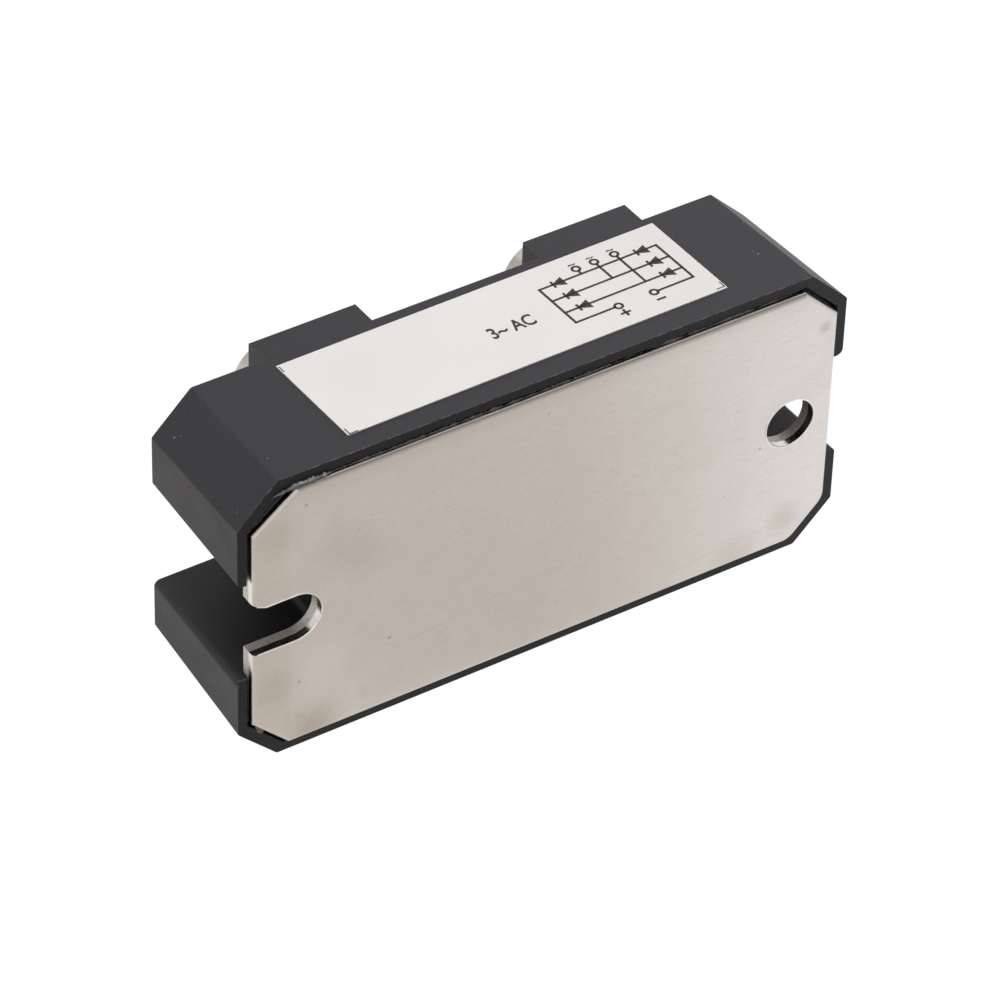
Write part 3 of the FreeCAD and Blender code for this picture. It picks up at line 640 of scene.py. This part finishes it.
low, high = (Vector(corner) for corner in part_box("label"))
outward = Vector((0, math.sin(LABEL_LEAN), math.cos(LABEL_LEAN)))
lean = Matrix.Rotation(-LABEL_LEAN, 4, "X") @ Matrix.Rotation(PRINT_TURN, 4, "Z")
face_middle = (low + high) / 2 + outward * (LABEL_THICKNESS / 2 + INK_LIFT)
label_face = Matrix.Translation(face_middle) @ lean @ Matrix.Scale(MM, 4)
print("middle of the label:", tuple(round(part / MM, 2) for part in face_middle), "mm")

# %% Drawing tools
LINE = 0.32


def draw_line(shape, start, end, width=LINE):
    """A straight line with square ends, half its width past both points."""
    start, end = Vector(start), Vector(end)
    run = end - start
    place = Matrix.Translation(((start + end) / 2).to_3d())
    turn = Matrix.Rotation(math.atan2(run.y, run.x), 4, "Z")
    size = Matrix.Diagonal((run.length + width, width, 1, 1))
    bmesh.ops.create_grid(shape, x_segments=1, y_segments=1, size=0.5, matrix=place @ turn @ size)


def draw_ring(shape, centre, radius, width=LINE):
    """A ring: a disc, inset by the line's width, without its middle face."""
    place = Matrix.Translation(Vector(centre).to_3d())
    made = bmesh.ops.create_circle(shape, cap_ends=True, segments=36, radius=radius + width / 2,
                                   matrix=place)
    disc = list({face for vert in made["verts"] for face in vert.link_faces})
    bmesh.ops.inset_region(shape, faces=disc, use_boundary=True, use_even_offset=True, thickness=width)
    bmesh.ops.delete(shape, geom=disc, context="FACES_ONLY")


def draw_diode(shape, centre, length=1.75, height=1.7, bar=1.3):
    """A filled triangle that points along -X, with its bar at the tip."""
    x, y = centre
    place = Matrix.Translation((x, y, 0)) @ Matrix.Diagonal((length / 1.5, height / math.sqrt(3), 1, 1))
    turn = Matrix.Rotation(math.pi / 2, 4, "Z")
    bmesh.ops.create_circle(shape, cap_ends=True, segments=3, radius=1, matrix=place @ turn)
    tip = x - length / 1.5 + LINE
    draw_line(shape, (tip, y - bar / 2 + LINE / 2), (tip, y + bar / 2 - LINE / 2))


# %% [markdown]
# Letters come from a text object. Its glyphs are made a mesh first, and only then placed, so the
# finished ink is plain mesh like everything else. The words are generic: the photograph's own
# rating isn't copied.

# %% Lettering
def draw_text(shape, words, place, length, height):
    """Letters from the built-in font that fill a box whose lower left corner is place."""
    curve = bpy.data.curves.new("ink_words", "FONT")
    curve.body = words
    curve.offset = 0.02
    holder = bpy.data.objects.new("ink_words", curve)
    glyphs = bpy.data.meshes.new_from_object(holder)
    across = [vert.co.x for vert in glyphs.vertices]
    upward = [vert.co.y for vert in glyphs.vertices]
    fit = Matrix.Diagonal((length / (max(across) - min(across)),
                           height / (max(upward) - min(upward)), 1, 1))
    glyphs.transform(Matrix.Translation((-min(across), -min(upward), 0)))
    glyphs.transform(Matrix.Translation(Vector(place).to_3d()) @ fit)
    shape.from_mesh(glyphs)
    bpy.data.objects.remove(holder)
    bpy.data.curves.remove(curve)
    bpy.data.meshes.remove(glyphs)


# %% The circuit
LEFT_BUS, RIGHT_BUS = 7.07, 22.92
ROWS = (3.55, 0.95, -1.65)
LEAD_ROW = -3.85
DIODE_LEFT, DIODE_RIGHT = 9.8, 21.08
INPUTS = (12.78, 15.23, 17.98)
INPUT_LEVEL, WAVE_LEVEL = 4.68, 5.42
RING = 0.46


def draw_bridge(shape):
    """Three rows of two diodes between the buses, three inputs and two outputs."""
    for row in ROWS:
        draw_line(shape, (LEFT_BUS, row), (RIGHT_BUS, row))
        draw_diode(shape, (DIODE_LEFT, row))
        draw_diode(shape, (DIODE_RIGHT, row))
    for bus in (LEFT_BUS, RIGHT_BUS):
        draw_line(shape, (bus, ROWS[0]), (bus, LEAD_ROW))
    for across, row in zip(INPUTS, ROWS):
        draw_ring(shape, (across, INPUT_LEVEL), RING)
        draw_line(shape, (across, INPUT_LEVEL - RING), (across, row))
        draw_text(shape, "~", (across - 0.5, WAVE_LEVEL), 0.95, 0.34)
    plus, minus = INPUTS[0], INPUTS[2] - 0.4
    draw_line(shape, (LEFT_BUS, LEAD_ROW), (plus - RING, LEAD_ROW))
    draw_line(shape, (RIGHT_BUS, LEAD_ROW), (minus + RING, LEAD_ROW))
    draw_ring(shape, (plus, LEAD_ROW), RING)
    draw_ring(shape, (minus, LEAD_ROW), RING)
    draw_line(shape, (plus - 0.5, LEAD_ROW - 1.45), (plus + 0.5, LEAD_ROW - 1.45))
    draw_line(shape, (plus, LEAD_ROW - 1.95), (plus, LEAD_ROW - 0.95))
    draw_line(shape, (minus - 0.45, LEAD_ROW - 1.45), (minus + 0.45, LEAD_ROW - 1.45))


# %% [markdown]
# Short ticks near the corners show where the film was cut from its sheet.

# %% Print the label
TICK, TICK_INSET, TICK_LINE = 1.0, 0.22, 0.14
HALF_LENGTH, HALF_WIDTH = 25.0, 7.5
WORDS, WORDS_PLACE, WORDS_SIZE = "3~ AC", (-2.2, -1.55), (5.8, 2.1)

ink = bmesh.new()
draw_bridge(ink)
draw_text(ink, WORDS, WORDS_PLACE, *WORDS_SIZE)
for side, level in ((-1, 1), (-1, -1), (1, -1)):
    corner = Vector((side * (HALF_LENGTH - TICK_INSET), level * (HALF_WIDTH - TICK_INSET)))
    draw_line(ink, corner, corner - Vector((0, level * TICK)), TICK_LINE)
    if level < 0:
        draw_line(ink, corner, corner - Vector((side * TICK, 0)), TICK_LINE)
bmesh.ops.transform(ink, matrix=label_face, verts=ink.verts)
finish_piece(ink, "label_print", label_ink, "module")

# %% [markdown]
# ## The burnished lip
#
# Punching leaves a fine bright lip around the hole and the slot. It follows the sharp edges of the
# plate's front face, so those are found in a copy of the CAD mesh: two faces meet there at a steep
# angle, at no depth. Each edge becomes a thin rod.

# %% Run a lip round the hole and the slot
LIP = 0.09 * MM
FRONT_DEPTH = 0.02 * MM
STEEP = 0.8  # radians
burnished_lip = make_bright_metal("burnished_lip", (0.78, 0.75, 0.72, 1), (0.92, 0.9, 0.87, 1),
                                  0.14, 0.24, 2600.0)


def sharp_front_edges(node):
    """The ends of every steep edge in the front plane of a CAD node."""
    shape = bmesh.new()
    shape.from_mesh(node.data)
    bmesh.ops.transform(shape, matrix=node.matrix_world, verts=shape.verts)
    bmesh.ops.remove_doubles(shape, verts=shape.verts, dist=0.001 * MM)
    ends = [[vert.co.copy() for vert in edge.verts] for edge in shape.edges
            if max(vert.co.y for vert in edge.verts) < FRONT_DEPTH
            and len(edge.link_faces) == 2 and edge.calc_face_angle() > STEEP]
    shape.free()
    return ends


lip = bmesh.new()
front_edges = sharp_front_edges(nodes["base_plate"])
for start, end in front_edges:
    run = end - start
    turn = Vector((0, 0, 1)).rotation_difference(run).to_matrix().to_4x4()
    place = Matrix.Translation((start + end) / 2) @ turn
    bmesh.ops.create_cone(lip, cap_ends=True, segments=8, radius1=LIP, radius2=LIP,
                          depth=run.length + LIP / 2, matrix=place)
print("sharp edges in the front plane:", len(front_edges))
finish_piece(lip, "punched_lip", burnished_lip, "module")

# %% [markdown]
# ## Sealant and flash
#
# When the plate was pressed into its recess, sealant came up through the gap and was wiped off
# badly. It lies along the top edge as a thin glossy thread, and as a paler smear round the corner
# of the label side. A bead is a tube laid through a few points, with a radius and a wander that
# come from noise, so that no two lengths of it look alike. The crumb of copper and the scrap of
# flash at the slot's end are pebbles, made uneven by the same noise.

# %% Lay a bead
# A bead has eight sides, and thins out over a sixth of its length at each end.
SIDES, ENDS = 8, 6


def lay_bead(shape, points, thickness, rings, wander=0.08, seed=0.0):
    """A lumpy tube through points, all in mm, about thickness wide."""
    points = [Vector(point) for point in points]
    lengths = [(after - before).length for before, after in zip(points, points[1:])]
    total = sum(lengths)
    loops = []
    for ring in range(rings + 1):
        travel = total * ring / rings
        leg = 0
        while leg < len(lengths) - 1 and travel > lengths[leg]:
            travel -= lengths[leg]
            leg += 1
        centre = points[leg].lerp(points[leg + 1], travel / lengths[leg])
        swell = noise.noise(Vector((centre.x * 0.9 + seed, seed, 0)))
        ripple = noise.noise(Vector((centre.x * 3.1 + seed, 0, seed)))
        end = min(1.0, ENDS * ring / rings, ENDS * (rings - ring) / rings)
        radius = thickness / 2 * max(0.12, 0.75 + 0.9 * swell + 0.5 * ripple) * max(0.1, end)
        centre += Vector((0, swell, ripple)) * wander
        loops.append([shape.verts.new(centre + Vector((0, math.cos(turn), math.sin(turn))) * radius)
                      for turn in (math.tau * corner / SIDES for corner in range(SIDES))])
    for before, after in zip(loops, loops[1:]):
        for corner in range(SIDES):
            following = (corner + 1) % SIDES
            shape.faces.new((before[corner], before[following], after[following], after[corner]))
    shape.faces.new(loops[0])
    shape.faces.new(reversed(loops[-1]))
    bmesh.ops.recalc_face_normals(shape, faces=shape.faces[:])


def add_lump(shape, centre, size, roughness=0.25):
    """An uneven pebble of about the given size, in mm."""
    made = bmesh.ops.create_icosphere(shape, subdivisions=3, radius=0.5)
    for vert in made["verts"]:
        push = 1 + roughness * noise.noise(vert.co * 5 + Vector(centre))
        vert.co = Vector(centre) + Vector(part * push * width for part, width in zip(vert.co, size))


# %% Sealant finishes
def make_sealant(name, dark, pale):
    material, tree, shader = new_finish(name, Coat_Weight=0.4)
    patch = use(tree, smudges, Scale=420.0, Low=0.4, High=0.65)
    tree.links.new(blend(tree, patch["Mask"], dark, pale), shader.inputs["Base Color"])
    tree.links.new(remap(tree, patch["Mask"], 0.0, 1.0, 0.14, 0.34), shader.inputs["Roughness"])
    bump(tree, shader, grain(tree, object_place(tree), 1800.0, 3.0), 0.00003, 0.5)
    return material


dark_sealant = make_sealant("dark_sealant", (0.012, 0.011, 0.011, 1), (0.13, 0.09, 0.07, 1))
pale_sealant = make_sealant("pale_sealant", (0.1, 0.085, 0.085, 1), (0.36, 0.33, 0.33, 1))
copper_crumb = make_sealant("copper_crumb", (0.2, 0.1, 0.07, 1), (0.42, 0.26, 0.19, 1))

# %% [markdown]
# The gap lies between the plate's edge and the rim, so its place comes from the plate's box.

# %% Fill the gap
HALF_GAP = 0.15
plate_high = Vector(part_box("base_plate")[1]) / MM
gap_level = plate_high.z + HALF_GAP


def scaled_piece(shape, name, material):
    """Bring a shape from millimetres to metres and finish it."""
    bmesh.ops.scale(shape, vec=(MM, MM, MM), verts=shape.verts)
    finish_piece(shape, name, material, "module", smooth=True)


thread = bmesh.new()
lay_bead(thread, [(-32.0, 0.72, gap_level), (12.0, 0.72, gap_level)], 0.34, 240, seed=3.1)
lay_bead(thread, [(12.5, 0.75, gap_level), (32.5, 0.75, gap_level + 0.05)], 0.26, 120, seed=7.4)
scaled_piece(thread, "sealant_thread", dark_sealant)

smear = bmesh.new()
lay_bead(smear, [(-35.7, 0.72, 17.8), (-33.9, 0.6, 18.25), (-32.2, 0.5, 18.45), (-28.0, 0.55, 18.5)],
         0.55, 90, wander=0.1, seed=1.7)
scaled_piece(smear, "sealant_smear", pale_sealant)

crumb = bmesh.new()
add_lump(crumb, (-37.0, 0.95, -15.35), (1.3, 0.7, 0.9), 0.5)
add_lump(crumb, (-37.5, 0.9, -14.8), (0.6, 0.5, 0.5), 0.5)
scaled_piece(crumb, "copper_crumb", copper_crumb)

flash = bmesh.new()
add_lump(flash, (-39.55, 0.85, -7.05), (0.7, 0.35, 0.5), 0.6)
add_lump(flash, (-38.95, 0.85, -7.1), (0.5, 0.3, 0.55), 0.6)
scaled_piece(flash, "moulding_flash", case_plastic)

# %% [markdown]
# ## The terminal screws
#
# The CAD screws have plain shanks and flat heads. A real M5 screw has a domed pan head with a
# cross recess and a rolled thread, which show from behind and when a screw is turned out. The
# thread is one tooth of the profile, spun in small steps that each climb a little: after a full
# turn it has climbed one pitch and meets itself. The heads are 0.2 mm wider all round than the
# CAD's, because the photograph shows more of their rims beside the raised blocks.

# %% Screw sizes
SHANK = 2.5 * MM
ROOT, CREST = SHANK - 0.42 * MM, SHANK - 0.04 * MM
PITCH = 0.8 * MM
STEPS = 32
HEAD = 5.2 * MM
FOOT_CHAMFER = 0.15 * MM
RIM_DROP = 1.0 * MM
SHOULDER_WIDTH, SHOULDER_RISE, SHOULDER_STEPS = 1.6 * MM, 0.8 * MM, 8
RECESS_TOP, RECESS_DEPTH = 0.3 * MM, 2.5 * MM
RECESS_REACH, RECESS_WIDTH = 2.6 * MM, 1.3 * MM
WELD = 0.002 * MM


def cut_flat(shape, level, keep_above):
    """Cut the shape square at a level along Z, drop one side and close the cut."""
    geometry = shape.verts[:] + shape.edges[:] + shape.faces[:]
    cut = bmesh.ops.bisect_plane(shape, geom=geometry, plane_co=(0, 0, level), plane_no=(0, 0, 1),
                                 clear_inner=keep_above, clear_outer=not keep_above)
    rim = [item for item in cut["geom_cut"] if isinstance(item, bmesh.types.BMEdge)]
    bmesh.ops.holes_fill(shape, edges=rim)


def add_thread(head, bottom, top):
    """Give a head a helical thread about Z between two levels."""
    shape = bmesh.new()
    turns = math.ceil((top - bottom) / PITCH) + 2
    start = bottom - PITCH
    tooth = [(ROOT, 0.0), (CREST, 0.44), (CREST, 0.56), (ROOT, 1.0)]
    verts = [shape.verts.new((radius, 0, start + share * PITCH)) for radius, share in tooth]
    edges = [shape.edges.new(pair) for pair in zip(verts, verts[1:])]
    bmesh.ops.spin(shape, geom=verts + edges, cent=(0, 0, 0), axis=(0, 0, 1),
                   dvec=(0, 0, PITCH / STEPS), angle=2 * math.pi * turns, steps=STEPS * turns)
    bmesh.ops.remove_doubles(shape, verts=shape.verts[:], dist=WELD)
    cut_flat(shape, bottom, keep_above=True)
    cut_flat(shape, top, keep_above=False)
    bmesh.ops.recalc_face_normals(shape, faces=shape.faces[:])
    helix = bpy.data.meshes.new("helix")
    shape.to_mesh(helix)
    shape.free()
    head.from_mesh(helix)
    bpy.data.meshes.remove(helix)


# %% [markdown]
# The head is half its outline, spun once round. The cross recess is cut from it with a boolean,
# which is the simplest way to take a tapered cross out of a dome. The cutter is a cube drawn thin
# and narrowed at its foot, used twice at a right angle.

# %% Head and recess
def spin_outline(points, steps=64):
    """A closed round shape from (radius, level) points that start and end on the axis."""
    shape = bmesh.new()
    verts = [shape.verts.new((radius, 0, level)) for radius, level in points]
    edges = [shape.edges.new(pair) for pair in zip(verts, verts[1:])]
    bmesh.ops.spin(shape, geom=verts + edges, cent=(0, 0, 0), axis=(0, 0, 1), angle=2 * math.pi,
                   steps=steps, use_merge=True)
    bmesh.ops.remove_doubles(shape, verts=shape.verts[:], dist=WELD)
    bmesh.ops.recalc_face_normals(shape, faces=shape.faces[:])
    return shape


def head_outline(height):
    """The dome of a pan head: straight at the rim, then an arc that flattens to the top."""
    rim = height - RIM_DROP
    points = [(0, 0), (HEAD - FOOT_CHAMFER, 0), (HEAD, FOOT_CHAMFER), (HEAD, rim)]
    for step in range(1, SHOULDER_STEPS + 1):
        angle = step / SHOULDER_STEPS * math.pi / 2
        points.append((HEAD - SHOULDER_WIDTH * (1 - math.cos(angle)),
                       rim + SHOULDER_RISE * math.sin(angle)))
    return points + [(HEAD * 0.45, height - 0.04 * MM), (0, height)]


def cross_cutter(top, depth, reach, width):
    shape = bmesh.new()
    for turn in (0, math.pi / 2):
        made = bmesh.ops.create_cube(shape, size=1)
        for vert in made["verts"]:
            at_foot = vert.co.z < 0
            vert.co.x *= reach * 2 * (0.45 if at_foot else 1.0)
            vert.co.y *= width * (0.7 if at_foot else 1.0)
            vert.co.z = top - depth if at_foot else top
        bmesh.ops.rotate(shape, verts=made["verts"], matrix=Matrix.Rotation(turn, 3, "Z"))
    return shape


def cut_with(shape, cutter):
    """Take one bmesh out of another with a boolean, and hand back the result."""
    holders = []
    for source in (shape, cutter):
        mesh = bpy.data.meshes.new("cutting")
        source.to_mesh(mesh)
        source.free()
        holders.append(bpy.data.objects.new("cutting", mesh))
        scene.collection.objects.link(holders[-1])
    modifier = holders[0].modifiers.new("cut", "BOOLEAN")
    modifier.object = holders[1]
    modifier.solver = "EXACT"
    modifier.use_self = True
    result = bmesh.new()
    result.from_object(holders[0], bpy.context.evaluated_depsgraph_get())
    for holder in holders:
        mesh = holder.data
        bpy.data.objects.remove(holder)
        bpy.data.meshes.remove(mesh)
    return result


# %% Build and seat the five screws
def build_screw(name):
    node = f"screw_{name}"
    low, high = (Vector(corner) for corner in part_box(node))
    under_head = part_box(f"spring_washer_{name}")[1][1]
    height, length = high.y - under_head, under_head - low.y
    dome = spin_outline(head_outline(height))
    cutter = cross_cutter(height + RECESS_TOP, RECESS_DEPTH, RECESS_REACH, RECESS_WIDTH)
    shape = cut_with(dome, cutter)
    add_thread(shape, -length, 0.0)
    upright = Matrix.Translation(((low.x + high.x) / 2, under_head, (low.z + high.z) / 2))
    bmesh.ops.transform(shape, matrix=upright @ Matrix.Rotation(-math.pi / 2, 4, "X"), verts=shape.verts)
    piece = finish_piece(shape, f"{node}_detailed", fastener_nickel, node)
    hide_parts(node)


for terminal in ("plus", "minus", "ac_1", "ac_2", "ac_3"):
    build_screw(terminal)

# %% [markdown]
# ## The studio
#
# The photograph has a pure white ground and almost no shadow, from large soft lights all round.
# The world is a white room: rays from the camera and mirror-like rays see it at full white, while
# the light that it sheds on the object is gentler.

# %% World
ROOM_LIGHT = 0.3


def seen_directly(tree):
    """Rays that show a thing itself rather than its light, and the mirror-like ones among them."""
    rays = add(tree, "ShaderNodeLightPath").outputs
    indirect = maths(tree, "MAXIMUM", rays["Is Glossy Ray"], rays["Is Transmission Ray"])
    return maths(tree, "MAXIMUM", rays["Is Camera Ray"], indirect), rays["Is Glossy Ray"]


world = bpy.data.worlds.new("white_room")
scene.world = world
world.use_nodes = True
room = world.node_tree
direct, _ = seen_directly(room)
white = add(room, "ShaderNodeBackground", {"Color": (1, 1, 1, 1), "Strength": 1.0})
soft = add(room, "ShaderNodeBackground", {"Color": (1, 0.98, 0.97, 1), "Strength": ROOM_LIGHT})
mixed = add(room, "ShaderNodeMixShader", {0: direct, 1: soft.outputs[0], 2: white.outputs[0]})
room.links.new(mixed.outputs[0], room.nodes["World Output"].inputs["Surface"])

# %% [markdown]
# The floor is white paper. It glows for the camera, so it stays white, and a small share of it is
# plain paper that still darkens where the module shades it. What the plate mirrors is this paper
# just in front of it. In the photograph the plate is duller and warmer for the first half of its
# length, as if a warm screen stood there at the left, so mirror-like rays see the paper through a
# tint that fades out to the right. They drift along X by two thirds of the way that they travel
# in Y, and allowing for that makes the tint end in an upright line on the plate.

# %% Floor
PAPER_OWN = 0.06
FULL_TINT_END, CLEAR_START, FADE = 6 * MM, 36 * MM, 3 * MM
LEAN_OF_RAYS = 0.663
FLOOR_SIZE = 3.0
# A painted reflection: mirror-like rays see the floor through this warm tint at the left.
REFLECTION_TINT = (0.69, 0.65, 0.605, 1)


def make_floor_paper():
    material = bpy.data.materials.new("floor_paper")
    material.use_nodes = True
    tree = material.node_tree
    tree.nodes.remove(tree.nodes["Principled BSDF"])
    direct, glossy = seen_directly(tree)
    along, before, _ = split(tree, object_place(tree))
    met = maths(tree, "ADD", along, maths(tree, "MULTIPLY", before, LEAN_OF_RAYS))
    clear = maths(tree, "MAXIMUM", remap(tree, met, FULL_TINT_END, CLEAR_START),
                  remap(tree, before, -FADE, FADE))
    # Only mirror-like rays get the painted reflection's tint.
    mirrored = blend(tree, clear, REFLECTION_TINT, (1, 1, 1, 1))
    tint = blend(tree, glossy, (1, 1, 1, 1), mirrored)
    paper = add(tree, "ShaderNodeBsdfDiffuse", {"Color": (PAPER_OWN, PAPER_OWN, PAPER_OWN, 1)})
    glow = add(tree, "ShaderNodeEmission", {"Color": tint, "Strength": direct})
    both = add(tree, "ShaderNodeAddShader", {0: paper.outputs[0], 1: glow.outputs[0]})
    tree.links.new(both.outputs[0], tree.nodes["Material Output"].inputs["Surface"])
    return material


sheet = bmesh.new()
bmesh.ops.create_grid(sheet, x_segments=1, y_segments=1, size=FLOOR_SIZE,
                      matrix=Matrix.Translation((0, 0, cad_box[0][2])))
floor_mesh = bpy.data.meshes.new("floor")
sheet.to_mesh(floor_mesh)
sheet.free()
floor_mesh.materials.append(make_floor_paper())
floor = bpy.data.objects.new("floor", floor_mesh)
scene.collection.objects.link(floor)

# %% [markdown]
# Two soft boxes do the rest: a wide one overhead lights the label and the top of the case, and a
# much weaker one at the left fills in the faces that turn that way. The overhead one is hidden
# from mirror-like rays.

# %% Lamps
def add_softbox(name, place, aim, size, power, mirrored=True):
    lamp = bpy.data.lights.new(name, "AREA")
    lamp.shape = "SQUARE"
    lamp.size = size
    lamp.energy = power
    holder = bpy.data.objects.new(name, lamp)
    holder.location = place
    holder.rotation_mode = "QUATERNION"
    holder.rotation_quaternion = (Vector(aim) - Vector(place)).to_track_quat("-Z", "Y")
    holder.visible_glossy = mirrored
    scene.collection.objects.link(holder)
    print("lamp", name, "of", power, "W")


add_softbox("overhead", (-0.08, 0.12, 0.78), (0, 0, 0), 0.6, 5.2, mirrored=False)
add_softbox("left_fill", (-0.7, -0.35, 0.35), (0, 0, 0), 0.5, 0.5)
